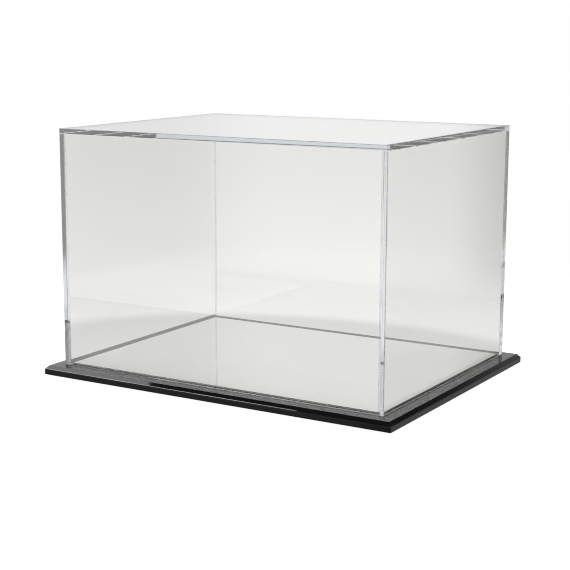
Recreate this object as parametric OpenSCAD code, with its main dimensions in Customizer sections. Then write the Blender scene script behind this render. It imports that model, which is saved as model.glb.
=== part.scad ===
// Football display case: a five-sided clear acrylic cover that lifts straight off a black
// bevelled base with a mirrored deck. The origin is the centre of the footprint, level with
// the undersides of the feet; +X is the long side's direction, +Y is the back and +Z is up.

/* [Display space] */
// Clear inside length of the cover, along X
inside_w = 304.8; // [200:0.1:600]
// Clear inside depth of the cover, along Y
inside_d = 228.6; // [180:0.1:450]
// Clear inside height of the cover, above the base
inside_h = 203.2; // [80:0.1:450]

/* [Cover] */
// Thickness of the cover's sheet
wall = 4.5; // [3:0.1:10]
// Thickness of the clear cement line in each seam
seam = 0.1; // [0.05:0.01:0.3]

/* [Base] */
// How far the base reaches past the cover, on every side
base_margin = 13; // [8:0.1:30]
// Thickness of the base
base_t = 7.9; // [5:0.1:20]
// Width and height of the bevel round the base's top edge
base_bevel = 3; // [0.5:0.1:4.5]

/* [Mirror] */
// Thickness of the mirror sheet's clear face
mirror_face_t = 1.3; // [1:0.1:4]
// Thickness of the mirror sheet's silvered and painted back
mirror_back_t = 0.1; // [0.1:0.05:0.5]
// Gap between the mirror's edge and the cover's inner face
mirror_gap = 1.2; // [0.5:0.1:4]

/* [Mounting tape] */
// Width of each strip of double-sided tape under the mirror
tape_w = 19; // [6:0.5:25]
// Thickness of the tape
tape_t = 0.2; // [0.1:0.05:0.5]
// Distance from the mirror's edge to the outer strips and to the strips' ends
tape_inset = 12; // [5:0.5:25]

/* [Feet] */
// Diameter of each bumper foot
foot_d = 9.5; // [6:0.1:20]
// Height of each bumper foot
foot_h = 2.2; // [1.8:0.1:6]
// Radius of the round lower edge of a foot
foot_round = 1.4; // [0.5:0.1:1.7]
// Distance from the base's edges to the centre of a foot
foot_inset = 20; // [12:0.5:60]

/* [Hidden] */

// Outside of the cover, and of the base below it
cover_w = inside_w + 2 * wall;
cover_d = inside_d + 2 * wall;
base_w = cover_w + 2 * base_margin;
base_d = cover_d + 2 * base_margin;

// The mirror lies inside the cover and keeps it from sliding on the base
mirror_w = inside_w - 2 * mirror_gap;
mirror_d = inside_d - 2 * mirror_gap;

// Levels, from the feet up
base_top = foot_h + base_t;
tape_top = base_top + tape_t;
mirror_back_top = tape_top + mirror_back_t;
top_pane_z = base_top + inside_h;

// The walls stop a seam short of the top pane, and the end panes a seam short of the sides
wall_h = inside_h - seam;
end_pane_w = inside_w - 2 * seam;

tape_length = mirror_w - 2 * tape_inset;
tape_row_y = mirror_d / 2 - tape_inset - tape_w / 2;

foot_x = base_w / 2 - foot_inset;
foot_y = base_d / 2 - foot_inset;
arc_steps = 8;

clear_tint = [0.90, 0.94, 0.95, 0.30];
cement_tint = [0.86, 0.90, 0.92, 0.55];
base_black = [0.03, 0.03, 0.032];
mirror_silver = [0.80, 0.81, 0.82];
paint_grey = [0.45, 0.46, 0.47];
tape_white = [0.92, 0.92, 0.90];
foot_clear = [0.82, 0.84, 0.84, 0.7];

// A box centred on the Z axis that stands on level z
module slab(width, depth, height, z) {
    translate([-width / 2, -depth / 2, z])
        cube([width, depth, height]);
}

// Section of the base across one direction: flat below, with a bevel at each top corner
module bevelled_section(width) {
    half = width / 2;
    polygon([
        [-half, 0], [half, 0], [half, base_t - base_bevel],
        [half - base_bevel, base_t], [base_bevel - half, base_t], [-half, base_t - base_bevel]
    ]);
}

// The section carried along Y and along X; where the two meet, the bevels mitre at the corners
module base_plate() {
    color(base_black)
        translate([0, 0, foot_h])
            intersection() {
                translate([0, base_d / 2, 0])
                    rotate([90, 0, 0])
                        linear_extrude(height = base_d)
                            bevelled_section(base_w);
                translate([-base_w / 2, 0, 0])
                    rotate([90, 0, 90])
                        linear_extrude(height = base_w)
                            bevelled_section(base_d);
            }
}

// Three strips of double-sided tape: one along the middle and one near each long edge
module mirror_tape() {
    color(tape_white)
        for (row = [-1, 0, 1])
            translate([0, row * tape_row_y, 0])
                slab(tape_length, tape_w, tape_t, base_top);
}

module mirror_backing() {
    color(paint_grey)
        slab(mirror_w, mirror_d, mirror_back_t, tape_top);
}

module mirror_panel() {
    color(mirror_silver)
        slab(mirror_w, mirror_d, mirror_face_t, mirror_back_top);
}

// A round bumper with a flat sole, a rounded lower edge and a flat top that sticks to the base
module foot(side_x, side_y) {
    rim = foot_d / 2 - foot_round;
    color(foot_clear)
        translate([side_x * foot_x, side_y * foot_y, 0])
            rotate_extrude($fn = 48)
                polygon([
                    [0, 0],
                    for (step = [0:arc_steps])
                        let (turn = 90 * step / arc_steps)
                            [rim + foot_round * sin(turn), foot_round * (1 - cos(turn))],
                    [foot_d / 2, foot_h],
                    [0, foot_h]
                ]);
}

module foot_front_left() {
    foot(-1, -1);
}

module foot_front_right() {
    foot(1, -1);
}

module foot_back_left() {
    foot(-1, 1);
}

module foot_back_right() {
    foot(1, 1);
}

// A front or back pane, which stands between the two side panes
module end_pane(side) {
    color(clear_tint)
        translate([0, side * (cover_d - wall) / 2, 0])
            slab(end_pane_w, wall, wall_h, base_top);
}

// A left or right pane, which runs the full depth of the cover
module side_pane(side) {
    color(clear_tint)
        translate([side * (cover_w - wall) / 2, 0, 0])
            slab(wall, cover_d, wall_h, base_top);
}

module cover_front_pane() {
    end_pane(-1);
}

module cover_back_pane() {
    end_pane(1);
}

module cover_left_pane() {
    side_pane(-1);
}

module cover_right_pane() {
    side_pane(1);
}

// The top pane lies over the edges of all four walls
module cover_top_pane() {
    color(clear_tint)
        slab(cover_w, cover_d, wall, top_pane_z);
}

// Cement lines in the four upright corners, between the end panes' ends and the side panes
module cover_corner_cement() {
    color(cement_tint)
        for (side_x = [-1, 1], side_y = [-1, 1])
            translate([side_x * (inside_w - seam) / 2, side_y * (cover_d - wall) / 2, 0])
                slab(seam, wall, wall_h, base_top);
}

// Cement line between the top pane and the walls, a flat ring as wide as the sheet is thick
module cover_top_cement() {
    cut = 1;
    color(cement_tint)
        difference() {
            slab(cover_w, cover_d, seam, top_pane_z - seam);
            slab(inside_w, inside_d, seam + 2 * cut, top_pane_z - seam - cut);
        }
}

base_plate();
mirror_tape();
mirror_backing();
mirror_panel();
foot_front_left();
foot_front_right();
foot_back_left();
foot_back_right();
cover_front_pane();
cover_back_pane();
cover_left_pane();
cover_right_pane();
cover_top_pane();
cover_corner_cement();
cover_top_cement();
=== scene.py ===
"""Looks for the football display case: a clear acrylic cover on a black bevelled base with a mirrored deck.

Every piece is worked out from the boxes of the packed CAD nodes, so nothing is placed by hand.
Lengths are in metres and the frame is the CAD model's own.
"""

import math

import bmesh
import bpy
import numpy as np
from bpy.props import FloatProperty, FloatVectorProperty, IntProperty, PointerProperty
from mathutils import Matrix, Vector


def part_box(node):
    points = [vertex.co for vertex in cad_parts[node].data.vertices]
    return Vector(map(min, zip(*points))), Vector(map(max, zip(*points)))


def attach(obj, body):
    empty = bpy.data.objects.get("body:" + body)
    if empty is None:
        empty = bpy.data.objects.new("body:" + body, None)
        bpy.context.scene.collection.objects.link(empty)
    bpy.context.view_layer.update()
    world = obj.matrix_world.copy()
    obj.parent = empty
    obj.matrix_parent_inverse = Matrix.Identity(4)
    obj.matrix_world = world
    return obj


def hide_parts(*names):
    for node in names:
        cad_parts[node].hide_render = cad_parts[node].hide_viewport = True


bl_info = {
    "name": "Football Display Case",
    "version": (1, 0, 0),
    "blender": (4, 5, 0),
    "location": "View3D > Sidebar > Display Case",
    "description": "Builds the clear cover, the mirrored deck, the black base, its feet and a small studio",
    "category": "Object",
}

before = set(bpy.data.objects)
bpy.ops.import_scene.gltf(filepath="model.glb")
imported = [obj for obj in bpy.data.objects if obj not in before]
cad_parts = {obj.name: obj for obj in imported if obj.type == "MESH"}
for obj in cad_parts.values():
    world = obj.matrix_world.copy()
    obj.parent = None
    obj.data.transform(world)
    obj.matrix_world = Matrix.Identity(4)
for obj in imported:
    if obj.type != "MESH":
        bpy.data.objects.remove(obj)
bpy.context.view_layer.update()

MM = 0.001
MERGE = 1e-7  # points closer than this are one point
ARC_STEPS = 4  # flats in each softened edge
NEAR = 10 * MERGE  # points closer than this lie in one plane
FOOT_SPOKES = 48  # steps round a foot
FLOOR_RINGS, FLOOR_SPOKES = 12, 96  # steps across and round the floor
BOUNCES = 96  # a sheet guides light through dozens of reflections before it comes out


# ---------------------------------------------------------------------------
# Settings that a user would change
# ---------------------------------------------------------------------------


class CoverSettings(bpy.types.PropertyGroup):
    """Finish of the clear sheets and of their cemented seams"""

    arris: FloatProperty(
        name="Scraped arris",
        description="Radius left by scraping the cover's outer edges",
        default=0.45 * MM,
        min=0.05 * MM,
        max=1.0 * MM,
        unit="LENGTH",
    )
    seam_arris: FloatProperty(
        name="Seam arris",
        description="Radius of a sheet's edge where it meets another sheet in a seam",
        default=0.10 * MM,
        min=0.02 * MM,
        max=0.5 * MM,
        unit="LENGTH",
    )
    film_gap: FloatProperty(
        name="Film clearance",
        description="Clearance between the cement film and each sheet that it joins",
        default=0.02 * MM,
        min=0.005 * MM,
        max=0.04 * MM,
        unit="LENGTH",
    )
    bubbles: IntProperty(
        name="Bubbles per seam",
        description="Air bubbles caught in the cement of each upright seam",
        default=9,
        min=1,
        max=40,
    )
    bubble_radius: FloatProperty(
        name="Bubble radius",
        description="Radius of the largest bubble",
        default=0.45 * MM,
        min=0.1 * MM,
        max=1.5 * MM,
        unit="LENGTH",
    )
    face_tint: FloatVectorProperty(
        name="Sheet tint",
        description="Colour of light that has gone straight through one sheet",
        subtype="COLOR",
        size=3,
        default=(0.982, 0.980, 0.970),
        min=0.0,
        max=1.0,
    )
    edge_tint: FloatVectorProperty(
        name="Edge tint",
        description="Colour of light that has run the length of a sheet, seen in its edges",
        subtype="COLOR",
        size=3,
        default=(0.78, 0.81, 0.84),
        min=0.0,
        max=1.0,
    )
    # Painted shade: this colour darkens the light through the arrises, so that they draw a grey line round
    # each sheet
    arris_painted_shade: FloatVectorProperty(
        name="Arris tint",
        description="Colour of light that has gone through a scraped arris",
        subtype="COLOR",
        size=3,
        default=(0.28, 0.28, 0.28),
        min=0.0,
        max=1.0,
    )
    cement_tint: FloatVectorProperty(
        name="Cement tint",
        description="Colour of light that has gone through a cemented seam",
        subtype="COLOR",
        size=3,
        default=(0.93, 0.94, 0.94),
        min=0.0,
        max=1.0,
    )


class BaseSettings(bpy.types.PropertyGroup):
    """Finish of the black base"""

    arris: FloatProperty(
        name="Softened edge",
        description="Radius of the base's polished edges",
        default=0.35 * MM,
        min=0.05 * MM,
        max=1.0 * MM,
        unit="LENGTH",
    )
    bevel_round: FloatProperty(
        name="Bevel round",
        description="Radius that polishing leaves along the lower edge of the bevel",
        default=1.5 * MM,
        min=0.1 * MM,
        max=2.0 * MM,
        unit="LENGTH",
    )
    seat: FloatProperty(
        name="Seat clearance",
        description="Air left between the cover's lower edge and the base",
        default=0.03 * MM,
        min=0.01 * MM,
        max=0.2 * MM,
        unit="LENGTH",
    )
    colour: FloatVectorProperty(
        name="Base colour",
        description="Colour of the black acrylic",
        subtype="COLOR",
        size=3,
        default=(0.0042, 0.0042, 0.0045),
        min=0.0,
        max=1.0,
    )
    gloss: FloatProperty(
        name="Surface roughness",
        description="Mean roughness of the polished black acrylic",
        default=0.03,
        min=0.0,
        max=1.0,
        subtype="FACTOR",
    )


class MirrorSettings(bpy.types.PropertyGroup):
    """Finish of the mirror sheet, its paint and its tape"""

    arris: FloatProperty(
        name="Sheet arris",
        description="Radius of the mirror sheet's edges",
        default=0.30 * MM,
        min=0.02 * MM,
        max=0.5 * MM,
        unit="LENGTH",
    )
    silver: FloatVectorProperty(
        name="Silver colour",
        description="Colour of the silvering, seen through the clear face",
        subtype="COLOR",
        size=3,
        default=(0.855, 0.86, 0.86),
        min=0.0,
        max=1.0,
    )
    edge: FloatVectorProperty(
        name="Edge colour",
        description="Colour of the mirror sheet's sawn edge",
        subtype="COLOR",
        size=3,
        default=(0.62, 0.625, 0.63),
        min=0.0,
        max=1.0,
    )
    paint: FloatVectorProperty(
        name="Paint colour",
        description="Colour of the protective paint on the mirror's back",
        subtype="COLOR",
        size=3,
        default=(0.16, 0.165, 0.17),
        min=0.0,
        max=1.0,
    )
    tape: FloatVectorProperty(
        name="Tape colour",
        description="Colour of the double-sided tape",
        subtype="COLOR",
        size=3,
        default=(0.78, 0.78, 0.75),
        min=0.0,
        max=1.0,
    )


class FootSettings(bpy.types.PropertyGroup):
    """Shape and finish of the four bumper feet"""

    crown: FloatProperty(
        name="Sole crown",
        description="How far the middle of a foot's sole is hollowed",
        default=0.15 * MM,
        min=0.0,
        max=0.5 * MM,
        unit="LENGTH",
    )
    colour: FloatVectorProperty(
        name="Foot colour",
        description="Colour of the translucent bumpers",
        subtype="COLOR",
        size=3,
        default=(0.62, 0.64, 0.64),
        min=0.0,
        max=1.0,
    )


class StudioSettings(bpy.types.PropertyGroup):
    """Camera, floor and soft light"""

    azimuth: FloatProperty(
        name="Camera azimuth",
        description="Turn of the camera round the case, from straight in front",
        default=math.radians(31.86),
        subtype="ANGLE",
    )
    elevation: FloatProperty(
        name="Camera elevation",
        description="How steeply the camera looks down",
        default=math.radians(10.727),
        subtype="ANGLE",
    )
    place: FloatVectorProperty(
        name="Camera place",
        description="Where the camera stands",
        size=3,
        subtype="TRANSLATION",
        default=(0.6165, -1.0340, 0.3060),
    )
    lens: FloatProperty(
        name="Lens",
        description="Focal length of the camera, in millimetres on a 36 mm sensor",
        default=87.23,
        min=20.0,
        max=200.0,
    )
    shift: FloatProperty(
        name="Lens shift",
        description="Sideways shift of the lens, as a share of the picture's width",
        default=0.04,
        min=-0.2,
        max=0.2,
    )
    floor_radius: FloatProperty(
        name="Floor radius",
        description="Radius of the round pale floor",
        default=0.65,
        min=0.3,
        max=3.0,
        unit="LENGTH",
    )
    wall_light: FloatProperty(
        name="Surround brightness",
        description="Brightness of the pale surround that the clear sheets show",
        default=0.92,
        min=0.0,
        max=2.0,
    )
    # Painted shade: the floor near the case is kept darker than the surround
    floor_light: FloatProperty(
        name="Floor brightness",
        description="Brightness of the floor close to the case, seen through the clear sheets",
        default=0.77,
        min=0.0,
        max=2.0,
    )
    # Painted shadow: how much brightness the floor keeps in the strip along the front of the base
    front_shade: FloatProperty(
        name="Front shade",
        description="Share of its brightness that the floor keeps along the front of the base",
        default=0.40,
        min=0.0,
        max=1.0,
        subtype="FACTOR",
    )
    flag_light: FloatProperty(
        name="Flag brightness",
        description="Brightness of the two dark flags that draw the edges of the clear sheets",
        default=0.24,
        min=0.0,
        max=2.0,
    )
    ceiling_light: FloatProperty(
        name="Ceiling brightness",
        description="Brightness of the two dark canopies over the case",
        default=0.07,
        min=0.0,
        max=2.0,
    )
    softbox_power: FloatProperty(
        name="Softbox power",
        description="Power of the softbox above and to the left",
        default=2.6,
        min=0.0,
        max=200.0,
        unit="POWER",
    )
    strip_power: FloatProperty(
        name="Strip light power",
        description="Power of the light nearer the front, which draws a line along the base's lower edge",
        default=24.0,
        min=0.0,
        max=200.0,
        unit="POWER",
    )


# ---------------------------------------------------------------------------
# Shader expressions
# ---------------------------------------------------------------------------


class Wire:
    """A value socket that can be used in arithmetic; each operation adds a Math node."""

    def __init__(self, recipe, socket):
        self.recipe = recipe
        self.socket = socket

    def _math(self, operation, first, second):
        made = self.recipe.node("ShaderNodeMath", {"operation": operation}, {0: first, 1: second})
        return Wire(self.recipe, made.outputs[0])

    def __add__(self, other):
        return self._math("ADD", self, other)

    def __radd__(self, other):
        return self._math("ADD", other, self)

    def __sub__(self, other):
        return self._math("SUBTRACT", self, other)

    def __rsub__(self, other):
        return self._math("SUBTRACT", other, self)

    def __mul__(self, other):
        return self._math("MULTIPLY", self, other)

    def __rmul__(self, other):
        return self._math("MULTIPLY", other, self)

    def __truediv__(self, other):
        return self._math("DIVIDE", self, other)

    def __rtruediv__(self, other):
        return self._math("DIVIDE", other, self)

    def __pow__(self, other):
        return self._math("POWER", self, other)

    def size(self):
        """The value without its sign"""
        return self._math("ABSOLUTE", self, 0.0)


class Recipe:
    """The node tree of one material or of the world."""

    def __init__(self, owner):
        owner.use_nodes = True
        self.tree = owner.node_tree
        self.tree.nodes.clear()

    def node(self, kind, settings=None, values=None):
        """Any node: its settings are set first, then its sockets, by number or name, from values or links."""
        made = self.tree.nodes.new(kind)
        for name, value in (settings or {}).items():
            setattr(made, name, value)
        for key, value in (values or {}).items():
            socket = made.inputs[key]
            source = value.socket if isinstance(value, Wire) else value
            if isinstance(source, bpy.types.NodeSocket):
                self.tree.links.new(source, socket)
            else:
                socket.default_value = source
        return made

    def place(self, stretch=(1.0, 1.0, 1.0)):
        """Object coordinates, stretched along each axis"""
        where = self.node("ShaderNodeTexCoord").outputs["Object"]
        made = self.node("ShaderNodeVectorMath", {"operation": "MULTIPLY"}, {0: where, 1: stretch})
        return made.outputs[0]

    def noise(self, scale, stretch=(1.0, 1.0, 1.0), detail=2.0, roughness=0.5):
        """Smooth noise from 0 to 1; scale is in waves to the metre"""
        values = {"Vector": self.place(stretch), "Scale": scale, "Detail": detail, "Roughness": roughness}
        return Wire(self, self.node("ShaderNodeTexNoise", None, values).outputs[0])

    def range(self, value, low, high, out_low=0.0, out_high=1.0):
        """A value eased from one range to another, and held at the ends"""
        settings = {"interpolation_type": "SMOOTHSTEP", "clamp": True}
        values = {"Value": value, "From Min": low, "From Max": high, "To Min": out_low, "To Max": out_high}
        return Wire(self, self.node("ShaderNodeMapRange", settings, values).outputs[0])

    def blend(self, share, first, second):
        """Two colours mixed by a share"""
        values = {0: share, 6: opaque(first), 7: opaque(second)}
        return self.node("ShaderNodeMix", {"data_type": "RGBA"}, values).outputs[2]

    def relief(self, height, distance, strength=1.0):
        """A normal bent by a height field; distance is the height of 1"""
        values = {"Strength": strength, "Distance": distance, "Height": height}
        return self.node("ShaderNodeBump", None, values).outputs[0]

    def surface(self, values, kind="ShaderNodeBsdfPrincipled"):
        """A shader"""
        return self.node(kind, None, values).outputs[0]

    def finish(self, shader, output="ShaderNodeOutputMaterial"):
        """Joins the shader to the output"""
        self.node(output, None, {"Surface": shader})


def opaque(colour):
    """A colour with its alpha of 1, or a link as it is"""
    if isinstance(colour, bpy.types.NodeSocket):
        return colour
    return (*tuple(colour)[:3], 1.0)


def material(name, build, settings):
    """A named material made once by its build function"""
    made = bpy.data.materials.get(name)
    if made is None:
        made = bpy.data.materials.new(name)
        build(Recipe(made), settings)
    return made


# ---------------------------------------------------------------------------
# Finishes
# ---------------------------------------------------------------------------

ACRYLIC_IOR = 1.49


def clear_face(recipe, cover):
    """Cast acrylic seen through its polished face: long slow waves in the sheet and a faint wipe haze"""
    waves = recipe.noise(9.0, detail=1.0)
    wipe = recipe.noise(60.0, stretch=(1.0, 1.0, 0.25), detail=4.0)
    recipe.finish(recipe.surface({
        "Base Color": opaque(cover.face_tint),
        "Roughness": recipe.range(wipe, 0.62, 0.85, 0.0, 0.02),
        "IOR": ACRYLIC_IOR,
        "Transmission Weight": 1.0,
        "Normal": recipe.relief(waves, 0.03 * MM),
    }))


def clear_edge(recipe, cover):
    """The sheet's own edge, scraped and flame polished: fine cross marks left by the scraper"""
    marks = recipe.noise(420.0, stretch=(1.0, 1.0, 0.2), detail=3.0)
    recipe.finish(recipe.surface({
        "Base Color": opaque(cover.edge_tint),
        "Roughness": recipe.range(marks, 0.4, 0.8, 0.02, 0.05),
        "IOR": ACRYLIC_IOR,
        "Transmission Weight": 1.0,
        "Normal": recipe.relief(marks, 0.0004 * MM),
    }))


def clear_arris(recipe, cover):
    """The sheet's scraped arris: satin from the scraper, with painted shade darkening the light through it so
    that it draws a grey line round the sheet
    """
    marks = recipe.noise(700.0, stretch=(1.0, 1.0, 0.3), detail=2.0)
    recipe.finish(recipe.surface({
        "Base Color": recipe.blend(marks, cover.arris_painted_shade, (0.42, 0.42, 0.43)),
        "Roughness": recipe.range(marks, 0.3, 0.7, 0.06, 0.14),
        "IOR": ACRYLIC_IOR,
        "Transmission Weight": 1.0,
    }))


def joined_face(recipe, cover):
    """A face that cement has wetted: light goes on into the next sheet without bending, a little dimmed"""
    blush = recipe.range(recipe.noise(160.0, detail=3.0), 0.35, 0.75)
    recipe.finish(recipe.surface({
        "Base Color": recipe.blend(blush, (1.0, 1.0, 1.0), cover.cement_tint),
        "Roughness": 0.0,
        "IOR": 1.0,
        "Transmission Weight": 1.0,
    }))


def air_bubble(recipe, cover):
    """Air inside the cement: light coming out of acrylic into air"""
    dimple = recipe.noise(900.0)
    recipe.finish(recipe.surface({
        "Base Color": opaque(cover.cement_tint),
        "Roughness": recipe.range(dimple, 0.3, 0.7, 0.0, 0.05),
        "IOR": 1.0 / ACRYLIC_IOR,
        "Transmission Weight": 1.0,
    }))


def polished_black(recipe, base):
    """Polished black acrylic: an even black with wipe marks that dull the gloss here and there"""
    wipe = recipe.noise(38.0, stretch=(0.5, 1.0, 1.0), detail=2.0)
    dust = recipe.range(recipe.noise(1500.0, detail=1.0), 0.74, 0.80)
    recipe.finish(recipe.surface({
        "Base Color": recipe.blend(dust * 0.5, base.colour, (0.06, 0.06, 0.058)),
        "Roughness": recipe.range(wipe, 0.3, 0.75, base.gloss * 0.5, base.gloss * 1.6) + dust * 0.12,
        "IOR": ACRYLIC_IOR,
        "Normal": recipe.relief(wipe, 0.0015 * MM),
    }))


def mirror_silver(recipe, mirror):
    """Silvered acrylic seen from its clear side: bright metal under a clear coat, slightly wavy"""
    waves = recipe.noise(14.0, detail=1.0)
    wipe = recipe.noise(70.0, stretch=(1.0, 0.4, 1.0), detail=4.0)
    recipe.finish(recipe.surface({
        "Base Color": recipe.blend(recipe.range(wipe, 0.4, 0.8) * 0.4, mirror.silver, (0.78, 0.785, 0.785)),
        "Metallic": 1.0,
        "Roughness": recipe.range(wipe, 0.5, 0.85, 0.005, 0.04),
        "IOR": ACRYLIC_IOR,
        "Coat Weight": 1.0,
        "Coat Roughness": 0.0,
        "Coat IOR": ACRYLIC_IOR,
        "Normal": recipe.relief(waves, 0.05 * MM),
    }))


def mirror_edge(recipe, mirror):
    """The mirror sheet's sawn edge: grey, with fine upright saw marks"""
    saw = recipe.noise(900.0, stretch=(1.0, 1.0, 0.15), detail=2.0)
    recipe.finish(recipe.surface({
        "Base Color": recipe.blend(saw, mirror.edge, (0.74, 0.745, 0.75)),
        "Roughness": recipe.range(saw, 0.3, 0.7, 0.18, 0.34),
        "IOR": ACRYLIC_IOR,
        "Normal": recipe.relief(saw, 0.01 * MM),
    }))


def mirror_arris(recipe, mirror):
    """The mirror sheet's scraped arris: clear acrylic over shadow, so nearly black under its gloss"""
    saw = recipe.noise(900.0, detail=2.0)
    recipe.finish(recipe.surface({
        "Base Color": recipe.blend(saw, (0.015, 0.015, 0.016), (0.03, 0.03, 0.032)),
        "Roughness": recipe.range(saw, 0.3, 0.7, 0.08, 0.16),
        "IOR": ACRYLIC_IOR,
    }))


def back_paint(recipe, mirror):
    """Grey paint sprayed over the silvering: a fine orange-peel"""
    peel = recipe.noise(1300.0, detail=2.0)
    cloud = recipe.noise(25.0, detail=3.0)
    recipe.finish(recipe.surface({
        "Base Color": recipe.blend(cloud, mirror.paint, (0.20, 0.205, 0.21)),
        "Roughness": recipe.range(cloud, 0.3, 0.7, 0.5, 0.7),
        "Normal": recipe.relief(peel, 0.02 * MM),
    }))


def tape_white(recipe, mirror):
    """Foam tape: an open fine cell in an off-white foam"""
    cell = recipe.noise(2200.0, detail=3.0)
    recipe.finish(recipe.surface({
        "Base Color": recipe.blend(cell, mirror.tape, (0.62, 0.62, 0.58)),
        "Roughness": recipe.range(cell, 0.3, 0.7, 0.75, 0.9),
        "Normal": recipe.relief(cell, 0.05 * MM),
    }))


def bumper(recipe, foot):
    """Translucent moulded bumper: milky, with a soft sheen and fine pitting"""
    pit = recipe.noise(1800.0, detail=2.0)
    milk = recipe.noise(240.0, detail=3.0)
    recipe.finish(recipe.surface({
        "Base Color": recipe.blend(milk, foot.colour, (0.74, 0.75, 0.74)),
        "Roughness": recipe.range(pit, 0.3, 0.7, 0.28, 0.45),
        "IOR": 1.46,
        "Normal": recipe.relief(pit, 0.01 * MM),
    }))


# ---------------------------------------------------------------------------
# Surfaces
# ---------------------------------------------------------------------------


def softened(path, radii):
    """A path of straight lines whose inner corners are arcs.

    At a corner where the lines meet at an angle, an arc of radius r starts and ends r / tan(half the
    angle) away from the corner, and its centre lies r / sin(half the angle) away along the bisector.
    """
    path = np.asarray(path, float)
    share = np.linspace(0.0, 1.0, ARC_STEPS + 1)[:, None]
    pieces = [path[:1]]
    for before, corner, after, radius in zip(path[:-2], path[1:-1], path[2:], radii):
        back = (before - corner) / np.linalg.norm(before - corner)
        on = (after - corner) / np.linalg.norm(after - corner)
        half = math.acos(float(back @ on)) / 2
        middle = back + on
        centre = corner + middle / np.linalg.norm(middle) * radius / math.sin(half)
        start = corner + back * radius / math.tan(half) - centre
        end = corner + on * radius / math.tan(half) - centre
        turn = math.pi - 2 * half
        arc = (start * np.sin((1 - share) * turn) + end * np.sin(share * turn)) / math.sin(turn)
        pieces.append(centre + arc)
    pieces.append(path[-1:])
    return np.concatenate(pieces)


def outline(half, radii, inset, stops, least=0.0):
    """Points anticlockwise round a rectangle with round corners, drawn in by an inset.

    Each corner is a quarter circle whose centre lies its radius in from both sides. The radius is the
    corner's own less the inset, and never below least. stops gives more points on each straight side,
    as distances along it from the rectangle's middle.
    """
    signs = np.array([(1, -1), (1, 1), (-1, 1), (-1, -1)], float)
    radius = np.maximum(np.asarray(radii, float) - inset, least)[:, None]
    centre = signs * (np.asarray(half) - inset - radius)
    turn = np.radians([-90.0, 0.0, 90.0, 180.0])[:, None] + np.linspace(0, math.pi / 2, ARC_STEPS + 1)
    arcs = centre[:, None] + radius[..., None] * np.stack([np.cos(turn), np.sin(turn)], -1)
    across = np.asarray(half) - inset
    sides = (
        lambda t: np.stack([np.full_like(t, across[0]), t], -1),
        lambda t: np.stack([-t, np.full_like(t, across[1])], -1),
        lambda t: np.stack([np.full_like(t, -across[0]), -t], -1),
        lambda t: np.stack([t, np.full_like(t, -across[1])], -1),
    )
    points = [np.concatenate([arcs[k], sides[k](np.asarray(stops[k], float))]) for k in range(4)]
    return np.concatenate(points)


def grid_faces(rows, columns, closed=False):
    """Quads between the rows of a grid whose columns run round; closed joins the last row to the first"""
    row = np.arange(rows if closed else rows - 1)[:, None]
    column = np.arange(columns)[None]
    after, beside = (row + 1) % rows, (column + 1) % columns
    first, second = row * columns, after * columns
    corners = (first + column, first + beside, second + beside, second + column)
    return np.stack(np.broadcast_arrays(*corners), -1).reshape(-1, 4)


def put_mesh(name, points, faces, materials, rule=None, smooth=False):
    """Puts points and faces into a new piece, joins doubled points and gives each face its material.

    rule takes the faces' middles and normals, as arrays, and gives the number of each face's material.
    """
    mesh = bpy.data.meshes.new(name)
    points = np.asarray(points, float).reshape(-1, 3).tolist()
    mesh.from_pydata(points, [], [list(map(int, face)) for face in faces])
    shell = bmesh.new()
    shell.from_mesh(mesh)
    bmesh.ops.remove_doubles(shell, verts=shell.verts, dist=MERGE)
    shell.to_mesh(mesh)
    shell.free()
    for finish in materials:
        mesh.materials.append(finish)
    count = len(mesh.polygons)
    if rule is not None:
        middles, normals = np.empty(count * 3), np.empty(count * 3)
        mesh.polygons.foreach_get("center", middles)
        mesh.polygons.foreach_get("normal", normals)
        chosen = rule(middles.reshape(-1, 3), normals.reshape(-1, 3))
        mesh.polygons.foreach_set("material_index", chosen.astype(np.int32))
    mesh.polygons.foreach_set("use_smooth", np.full(count, smooth))
    mesh.update()
    piece = bpy.data.objects.new(name, mesh)
    bpy.context.scene.collection.objects.link(piece)
    return piece


def plate(name, low, high, profile, radii, materials, rule, stops=((), (), (), ()), least=0.0):
    """A flat-topped plate: an outline carried up a profile of (inset, height) pairs, closed by two flats."""
    middle, half = (low + high)[:2] / 2, (high - low)[:2] / 2
    rings = [outline(half, radii, inset, stops, least) + middle for inset in profile[:, 0]]
    heights = np.repeat(profile[:, 1], len(rings[0])).reshape(len(rings), -1, 1)
    points = np.concatenate([np.stack(rings), heights], -1)
    rows, columns = points.shape[:2]
    faces = grid_faces(rows, columns).tolist()
    last = (rows - 1) * columns
    faces += [list(range(columns))[::-1], list(range(last, last + columns))]
    return put_mesh(name, points, faces, materials, rule)


def box_of(node):
    """Lowest and highest corner of a CAD node, as arrays"""
    low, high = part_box(node)
    return np.array(low), np.array(high)


def repaint(node, finish):
    """Gives a CAD node its finish, and leaves its mesh alone"""
    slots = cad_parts[node].data.materials
    slots.clear()
    slots.append(finish)


# ---------------------------------------------------------------------------
# The clear cover
# ---------------------------------------------------------------------------

FACE, EDGE, JOINED, ARRIS = 0, 1, 2, 3
FLAT = 0.999  # a normal this close to an axis belongs to a flat, not to an arris


def sheet_finishes(cover):
    """The sheet's four finishes, in the order of their numbers"""
    return [
        material("clear_acrylic_face", clear_face, cover),
        material("clear_acrylic_edge", clear_edge, cover),
        material("clear_acrylic_joined", joined_face, cover),
        material("clear_acrylic_arris", clear_arris, cover),
    ]


def with_arrises(chosen, normals, in_seam):
    """Gives the bent faces of a sheet the arris finish, or the joined one where cement fills the groove"""
    bent = (np.abs(normals) < FLAT).all(1)
    return np.where(bent, np.where(in_seam, JOINED, ARRIS), chosen)


def wall_profile(low, high, cover):
    """Section of a wall sheet's top and bottom edges"""
    reach = (high - low)[:2].min() / 4
    path = [(reach, low[2]), (0.0, low[2]), (0.0, high[2]), (reach, high[2])]
    return softened(path, (cover.arris, cover.seam_arris))


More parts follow.
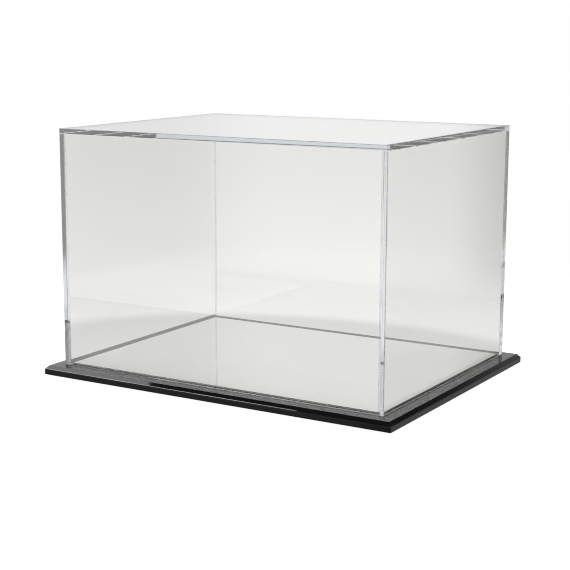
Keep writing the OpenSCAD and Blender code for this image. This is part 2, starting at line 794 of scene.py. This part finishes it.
class CASE_OT_end_panes(bpy.types.Operator):
    """Build the front and back panes, which stand between the side panes"""

    bl_idname = "display_case.end_panes"
    bl_label = "Front and Back Panes"

    def execute(self, context):
        cover = context.scene.case_cover
        for node in ("cover_front_pane", "cover_back_pane"):
            low, high = box_of(node)
            groove = high[2] - cover.seam_arris

            def rule(middles, normals, groove=groove):
                flat = np.abs(normals) > FLAT
                chosen = np.where(flat[:, 1], FACE, EDGE)
                chosen = np.where(flat[:, 0] | (normals[:, 2] > FLAT), JOINED, chosen)
                return with_arrises(chosen, normals, middles[:, 2] > groove)

            pane = plate(
                node.replace("cover_", "clear_"),
                low,
                high,
                wall_profile(low, high, cover),
                [cover.seam_arris] * 4,
                sheet_finishes(cover),
                rule,
            )
            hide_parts(node)
            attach(pane, "cover")
        return {"FINISHED"}


class CASE_OT_side_panes(bpy.types.Operator):
    """Build the left and right panes, which run the cover's full depth"""

    bl_idname = "display_case.side_panes"
    bl_label = "Side Panes"

    def execute(self, context):
        cover = context.scene.case_cover
        join = box_of("cover_back_pane")[0][1]
        for node, side in (("cover_left_pane", -1), ("cover_right_pane", 1)):
            low, high = box_of(node)
            inner = low[0] if side > 0 else high[0]
            groove = high[2] - cover.seam_arris

            def rule(middles, normals, inner=inner, groove=groove):
                flat = np.abs(normals) > FLAT
                wetted = (np.abs(middles[:, 0] - inner) < NEAR) & (np.abs(middles[:, 1]) > join)
                chosen = np.where(flat[:, 0], FACE, EDGE)
                chosen = np.where((flat[:, 0] & wetted) | (normals[:, 2] > FLAT), JOINED, chosen)
                return with_arrises(chosen, normals, middles[:, 2] > groove)

            radii = [cover.arris, cover.arris, cover.seam_arris, cover.seam_arris]
            stops = [(), (), (), ()]
            stops[2 if side > 0 else 0] = (-join, join)
            pane = plate(
                node.replace("cover_", "clear_"),
                low,
                high,
                wall_profile(low, high, cover),
                radii if side > 0 else radii[::-1],
                sheet_finishes(cover),
                rule,
                stops,
            )
            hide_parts(node)
            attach(pane, "cover")
        return {"FINISHED"}


class CASE_OT_top_pane(bpy.types.Operator):
    """Build the top pane, which lies over the edges of the four walls"""

    bl_idname = "display_case.top_pane"
    bl_label = "Top Pane"

    def execute(self, context):
        cover = context.scene.case_cover
        low, high = box_of("cover_top_pane")
        sheet = high[2] - low[2]
        inside = high[:2] - sheet

        def rule(middles, normals):
            over_wall = (np.abs(middles[:, :2]) > inside).any(1)
            chosen = np.where(np.abs(normals[:, 2]) > FLAT, FACE, EDGE)
            chosen = np.where((normals[:, 2] < -FLAT) & over_wall, JOINED, chosen)
            return with_arrises(chosen, normals, middles[:, 2] < low[2] + cover.seam_arris)

        path = [(sheet, low[2]), (0.0, low[2]), (0.0, high[2]), (sheet, high[2])]
        pane = plate(
            "clear_top_pane",
            low,
            high,
            softened(path, (cover.seam_arris, cover.arris)),
            [cover.arris] * 4,
            sheet_finishes(cover),
            rule,
        )
        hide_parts("cover_top_pane")
        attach(pane, "cover")
        return {"FINISHED"}


def lens_shapes(centres, radii, thickness, rings=6, spokes=12):
    """Flat round lenses that stand across X.

    Each is a sphere, r = sin(turn down from the pole), squeezed to its thickness along X and scaled to
    its radius along Y and Z. Returns points (lens, ring, spoke, 3).
    """
    down = np.linspace(0.0, math.pi, rings + 1)[:, None]
    round_ = np.linspace(0.0, 2 * math.pi, spokes, endpoint=False)[None]
    out = np.sin(down)
    unit = np.stack(np.broadcast_arrays(np.cos(down), out * np.cos(round_), out * np.sin(round_)), -1)
    scale = np.stack([np.full_like(radii, thickness / 2), radii, radii * 1.3], -1)
    return centres[:, None, None] + unit[None] * scale[:, None, None]


class CASE_OT_corner_cement(bpy.types.Operator):
    """Build the cement films of the four upright seams, with the bubbles caught in them"""

    bl_idname = "display_case.corner_cement"
    bl_label = "Corner Cement"

    def execute(self, context):
        cover = context.scene.case_cover
        low, high = box_of("cover_corner_cement")
        seam = box_of("cover_right_pane")[0][0] - box_of("cover_front_pane")[1][0]
        sheet = high[1] - box_of("cover_back_pane")[0][1]
        gap, groove = cover.film_gap, cover.seam_arris
        points, faces = [], []
        corners = [(sx, sy) for sx in (-1, 1) for sy in (-1, 1)]
        for sx, sy in corners:
            middle = np.array([sx * (high[0] - seam / 2), sy * (high[1] - sheet / 2)])
            half = np.array([seam / 2 - gap, sheet / 2 - groove])
            ring = outline(half, [0.0] * 4, 0.0, ((), (), (), ()))[:: ARC_STEPS + 1] + middle
            heights = np.repeat([low[2] + gap, high[2] - gap], 4)[:, None]
            start = sum(len(p) for p in points)
            points.append(np.hstack([np.vstack([ring, ring]), heights]))
            faces += (grid_faces(2, 4) + start).tolist() + [[start + 3, start + 2, start + 1, start]]
            faces += [[start + 4, start + 5, start + 6, start + 7]]
        bubble_start = len(faces)
        count = cover.bubbles
        step = np.arange(count)
        golden = (math.sqrt(5) - 1) / 2
        for number, (sx, sy) in enumerate(corners):
            height = (step * golden + number * 0.29) % 1.0
            across = (step * golden * golden + number * 0.17) % 1.0
            radii = cover.bubble_radius * (0.25 + 0.75 * ((step * 0.379 + number * 0.23) % 1.0) ** 3)
            centres = np.stack([
                np.full(count, sx * (high[0] - seam / 2)),
                sy * (high[1] - sheet / 2) + (across - 0.5) * (sheet - 4 * cover.bubble_radius),
                low[2] + 0.03 * (high[2] - low[2]) + height * 0.94 * (high[2] - low[2]),
            ], -1)
            lenses = lens_shapes(centres, radii, seam - 3 * gap)
            start = sum(len(p) for p in points)
            rows, columns = lenses.shape[1:3]
            one = grid_faces(rows, columns)
            each = np.arange(count)[:, None, None] * rows * columns
            points.append(lenses.reshape(-1, 3))
            faces += (one[None, :, ::-1] + each + start).reshape(-1, 4).tolist()
        film = put_mesh(
            "corner_cement",
            np.concatenate(points),
            faces,
            [material("cement_film", joined_face, cover), material("cement_bubble", air_bubble, cover)],
            lambda middles, normals: (np.arange(len(middles)) >= bubble_start).astype(int),
        )
        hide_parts("cover_corner_cement")
        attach(film, "cover")
        return {"FINISHED"}


class CASE_OT_top_cement(bpy.types.Operator):
    """Build the cement film under the top pane, a flat ring over the edges of the walls"""

    bl_idname = "display_case.top_cement"
    bl_label = "Top Cement"

    def execute(self, context):
        cover = context.scene.case_cover
        low, high = box_of("cover_top_cement")
        sheet = box_of("cover_top_pane")[1][2] - box_of("cover_top_pane")[0][2]
        gap, groove = cover.film_gap, cover.seam_arris
        bottom, top = low[2] + gap, high[2] - gap
        section = ((groove, bottom), (groove, top), (sheet - groove, top), (sheet - groove, bottom))
        plain = ((), (), (), ())
        rings = [outline(high[:2], [0.0] * 4, inset, plain)[:: ARC_STEPS + 1] for inset, _ in section]
        heights = np.repeat([z for _, z in section], 4).reshape(4, 4, 1)
        points = np.concatenate([np.stack(rings), heights], -1)
        film = put_mesh(
            "top_cement",
            points,
            grid_faces(4, 4, closed=True).tolist(),
            [material("cement_film", joined_face, cover)],
        )
        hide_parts("cover_top_cement")
        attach(film, "cover")
        return {"FINISHED"}


# ---------------------------------------------------------------------------
# The base, its mirror and its feet
# ---------------------------------------------------------------------------


class CASE_OT_base(bpy.types.Operator):
    """Build the black base with its bevelled top edge"""

    bl_idname = "display_case.base"
    bl_label = "Black Base"

    def execute(self, context):
        base = context.scene.case_base
        low, high = box_of("base_plate")
        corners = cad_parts["base_plate"].data.vertices
        points = np.empty(len(corners) * 3)
        corners.foreach_get("co", points)
        points = points.reshape(-1, 3)
        flat_half = points[points[:, 2] > high[2] - NEAR][:, 0].max()
        bevel = high[0] - flat_half
        top = high[2] - base.seat
        rise = bevel - base.seat
        lip = 3 * base.arris
        path = [(lip, low[2]), (0.0, low[2]), (0.0, top - rise), (rise, top), (rise + lip, top)]
        block = plate(
            "black_base",
            low,
            high,
            softened(path, (base.arris, base.bevel_round, base.arris / 2)),
            [base.arris * 2] * 4,
            [material("polished_black", polished_black, base)],
            None,
            least=base.arris,
        )
        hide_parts("base_plate")
        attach(block, "base")
        return {"FINISHED"}


class CASE_OT_mirror(bpy.types.Operator):
    """Build the mirror sheet's clear face, and finish its painted back and its tape"""

    bl_idname = "display_case.mirror"
    bl_label = "Mirror Sheet"

    def execute(self, context):
        mirror = context.scene.case_mirror
        low, high = box_of("mirror_panel")

        def rule(middles, normals):
            return np.where(normals[:, 2] > FLAT, 0, np.where(normals[:, 2] > 1 - FLAT, 2, 1))

        lip = 1.0 * MM
        path = [(lip, low[2]), (0.0, low[2]), (0.0, high[2]), (lip, high[2])]
        sheet = plate(
            "mirror_sheet",
            low,
            high,
            softened(path, (mirror.arris / 4, mirror.arris)),
            [mirror.arris] * 4,
            [
                material("mirror_silver", mirror_silver, mirror),
                material("mirror_edge", mirror_edge, mirror),
                material("mirror_arris", mirror_arris, mirror),
            ],
            rule,
        )
        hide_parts("mirror_panel")
        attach(sheet, "base")
        repaint("mirror_backing", material("back_paint", back_paint, mirror))
        repaint("mirror_tape", material("tape_white", tape_white, mirror))
        return {"FINISHED"}


class CASE_OT_feet(bpy.types.Operator):
    """Build the four bumper feet"""

    bl_idname = "display_case.feet"
    bl_label = "Bumper Feet"

    def execute(self, context):
        foot = context.scene.case_foot
        turn = np.linspace(0.0, 2 * math.pi, FOOT_SPOKES, endpoint=False)
        for node in ("foot_front_left", "foot_front_right", "foot_back_left", "foot_back_right"):
            low, high = box_of(node)
            radius, height = (high[0] - low[0]) / 2, high[2] - low[2]
            round_ = 0.62 * height
            # Section from the middle of the hollowed sole, round the lower edge, up the side and in again
            path = [
                (0.0, foot.crown),
                (radius * 0.45, 0.0),
                (radius, 0.0),
                (radius, height - 0.01 * MM),
                (0.0, height - 0.01 * MM),
            ]
            section = softened(path, (round_, round_, 0.1 * MM))
            out, up = section[:, 0, None], section[:, 1, None]
            points = np.stack(np.broadcast_arrays(out * np.cos(turn), out * np.sin(turn), up), -1)
            points = points + np.array([*(low + high)[:2] / 2, low[2]])
            piece = put_mesh(
                node.replace("foot_", "bumper_"),
                points,
                grid_faces(len(section), FOOT_SPOKES).tolist(),
                [material("bumper_clear", bumper, foot)],
                smooth=True,
            )
            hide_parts(node)
            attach(piece, "base")
        return {"FINISHED"}


# ---------------------------------------------------------------------------
# The studio
# ---------------------------------------------------------------------------


def pale_floor(recipe, studio):
    """A pale floor that lights itself, with painted shade under and round the case, a painted shadow in a
    strip along the front of the base, and painted shade to the right of the case and a little far to the
    left.

    Looked at straight, it is plain white. It keeps a trace of real shade where the case stands on it,
    and towards its rim it fades into the surround.
    """
    where = recipe.node("ShaderNodeTexCoord").outputs["Object"]
    parts = recipe.node("ShaderNodeSeparateXYZ", None, {0: where}).outputs
    east, north = Wire(recipe, parts[0]), Wire(recipe, parts[1])
    reach = (east * east + north * north) ** 0.5
    oval = (east * east * 0.55 + north * north) ** 0.5
    # Painted shade: the floor glows darker within an oval under and round the case, brighter beyond it
    level = recipe.range(oval, 0.205, 0.245, studio.floor_light, studio.wall_light + 0.06)
    # Painted shadow: a dark strip on the floor just in front of the base's front edge
    strip = recipe.range(north, -0.19, -0.158) * recipe.range(north, -0.142, -0.128, 1.0, 0.0)
    level = level * (1 - strip * (1 - studio.front_shade))
    # Painted shade: darker to the right of the case, and a little darker far to the left
    level = level * recipe.range(east, 0.12, 0.18, 1.0, 0.57) * recipe.range(east, -0.30, -0.15, 0.94, 1.0)
    white = (1.0, 1.0, 1.0, 1.0)
    glow = recipe.surface({"Color": white, "Strength": level}, "ShaderNodeEmission")
    plain = recipe.surface({"Color": white, "Strength": 0.95}, "ShaderNodeEmission")
    chalk = recipe.surface({"Color": (0.5, 0.5, 0.5, 1.0)}, "ShaderNodeBsdfDiffuse")
    lit = recipe.surface({0: plain, 1: chalk}, "ShaderNodeAddShader")
    straight = recipe.node("ShaderNodeLightPath").outputs["Is Camera Ray"]
    cloth = recipe.surface({0: straight, 1: glow, 2: lit}, "ShaderNodeMixShader")
    clear = recipe.surface({}, "ShaderNodeBsdfTransparent")
    rim = recipe.range(reach, 0.45 * studio.floor_radius, 0.98 * studio.floor_radius)
    recipe.finish(recipe.surface({0: rim, 1: cloth, 2: clear}, "ShaderNodeMixShader"))


FLAG_TURN = math.radians(29.5)  # the flags' line, from straight back towards the right
BRIGHT_TURN = math.radians(30.0)  # the brightest part of the walls, from straight back towards the left
OPEN_TURN = math.radians(42.0)  # the pale part of the ceiling, from straight back towards the left


def surround(recipe, studio):
    """Soft light from all round: pale walls and ceiling, two dark flags and two dark canopies.

    The flags stand on the line from front left to back right. The canopies hang over the left and the
    back right, and the ceiling between them is pale from back left to front right. The back wall is
    brightest 30 degrees left of straight back, and the walls are brighter near the floor. Seen past the
    case the room is white.
    """
    way = recipe.node("ShaderNodeTexCoord").outputs["Generated"]
    parts = recipe.node("ShaderNodeSeparateXYZ", None, {0: way}).outputs
    east, north, up = (Wire(recipe, part) for part in parts)
    level_out = (east * east + north * north) ** 0.5 + 1e-6
    along = (east * math.sin(FLAG_TURN) + north * math.cos(FLAG_TURN)) / level_out
    shade = recipe.range(along.size(), math.cos(math.radians(17.0)), math.cos(math.radians(7.5)))
    side = (east * math.cos(BRIGHT_TURN) + north * math.sin(BRIGHT_TURN)) / level_out
    left = recipe.range(side, -0.11, -0.02, 0.90, 1.0)
    right = recipe.range(side, 0.10, 0.145, 1.0, 0.80)
    pale = left * right * studio.wall_light
    pale = pale * recipe.range(up, -0.17, -0.08, 1.09, 1.0) * recipe.range(up, -0.03, 0.07, 1.0, 0.95)
    wall = pale * (1 - shade) + shade * studio.flag_light
    open_way = ((north * math.cos(OPEN_TURN) - east * math.sin(OPEN_TURN)) / level_out).size()
    canopy = recipe.range(open_way, 0.70, 0.88, 1.0, 0.0)
    roof = canopy * recipe.range(up, math.sin(math.radians(17.5)), math.sin(math.radians(24.5)))
    level = wall * (1 - roof) + roof * studio.ceiling_light
    straight = Wire(recipe, recipe.node("ShaderNodeLightPath").outputs["Is Camera Ray"])
    seen = level * (1 - straight) + straight
    warm = recipe.blend(shade * (1 - straight), (1.0, 1.0, 1.0), (1.0, 0.97, 0.92))
    light = recipe.surface({"Color": warm, "Strength": seen}, "ShaderNodeBackground")
    recipe.finish(light, "ShaderNodeOutputWorld")


class CASE_OT_studio(bpy.types.Operator):
    """Build the round pale floor, the soft surround, the two lamps and the camera"""

    bl_idname = "display_case.studio"
    bl_label = "Studio"

    def execute(self, context):
        scene = context.scene
        studio = scene.case_studio
        out = np.linspace(0.0, studio.floor_radius, FLOOR_RINGS + 1)[:, None]
        turn = np.linspace(0.0, 2 * math.pi, FLOOR_SPOKES, endpoint=False)[None]
        points = np.stack(np.broadcast_arrays(out * np.cos(turn), out * np.sin(turn), np.zeros_like(out)), -1)
        faces = grid_faces(FLOOR_RINGS + 1, FLOOR_SPOKES)[:, ::-1].tolist()
        floor = put_mesh("floor", points, faces, [material("pale_floor", pale_floor, studio)])

        room = bpy.data.worlds.new("surround")
        surround(Recipe(room), studio)
        scene.world = room

        for name, width, depth, power, place in (
            ("softbox", 0.5, 0.5, studio.softbox_power, (-1.12, -0.49, 1.1)),
            ("strip_light", 0.75, 0.6, studio.strip_power, (-0.99, -1.05, 1.1)),
        ):
            lamp = bpy.data.lights.new(name, "AREA")
            lamp.shape = "RECTANGLE"
            lamp.size, lamp.size_y = width, depth
            lamp.energy = power
            hung = bpy.data.objects.new(name, lamp)
            hung.location = place
            scene.collection.objects.link(hung)

        camera = bpy.data.objects.new("camera", bpy.data.cameras.new("camera"))
        camera.data.lens = studio.lens
        camera.data.sensor_width = 36.0
        camera.data.shift_x = studio.shift
        camera.location = studio.place
        flat = math.cos(studio.elevation)
        aim = Vector((
            -math.sin(studio.azimuth) * flat,
            math.cos(studio.azimuth) * flat,
            -math.sin(studio.elevation),
        ))
        camera.rotation_mode = "QUATERNION"
        camera.rotation_quaternion = aim.to_track_quat("-Z", "Y")
        scene.collection.objects.link(camera)
        scene.camera = camera

        scene.view_settings.view_transform = "Standard"
        scene.cycles.max_bounces = BOUNCES
        scene.cycles.glossy_bounces = BOUNCES
        scene.cycles.transmission_bounces = BOUNCES
        scene.cycles.diffuse_bounces = 3
        scene.cycles.sample_clamp_indirect = 4.0
        scene.cycles.filter_width = 1.1
        return {"FINISHED"}


# ---------------------------------------------------------------------------
# Panel, registration and the run itself
# ---------------------------------------------------------------------------

OPERATORS = (
    CASE_OT_end_panes,
    CASE_OT_side_panes,
    CASE_OT_top_pane,
    CASE_OT_corner_cement,
    CASE_OT_top_cement,
    CASE_OT_base,
    CASE_OT_mirror,
    CASE_OT_feet,
    CASE_OT_studio,
)

SETTINGS = {
    "case_cover": CoverSettings,
    "case_base": BaseSettings,
    "case_mirror": MirrorSettings,
    "case_foot": FootSettings,
    "case_studio": StudioSettings,
}


class CASE_PT_display_case(bpy.types.Panel):
    """Buttons and settings of the display case"""

    bl_idname = "CASE_PT_display_case"
    bl_label = "Display Case"
    bl_space_type = "VIEW_3D"
    bl_region_type = "UI"
    bl_category = "Display Case"

    def draw(self, context):
        for operator in OPERATORS:
            self.layout.operator(operator.bl_idname)
        for name, group in SETTINGS.items():
            box = self.layout.box()
            box.label(text=group.__doc__)
            for setting in group.__annotations__:
                box.prop(getattr(context.scene, name), setting)


def register():
    for group in (*SETTINGS.values(), *OPERATORS, CASE_PT_display_case):
        bpy.utils.register_class(group)
    for name, group in SETTINGS.items():
        setattr(bpy.types.Scene, name, PointerProperty(type=group))


def unregister():
    for name in SETTINGS:
        delattr(bpy.types.Scene, name)
    for group in (CASE_PT_display_case, *reversed(OPERATORS), *reversed(SETTINGS.values())):
        bpy.utils.unregister_class(group)


def main():
    register()
    for operator in OPERATORS:
        group, name = operator.bl_idname.split(".")
        getattr(getattr(bpy.ops, group), name)()


if __name__ == "__main__":
    main()
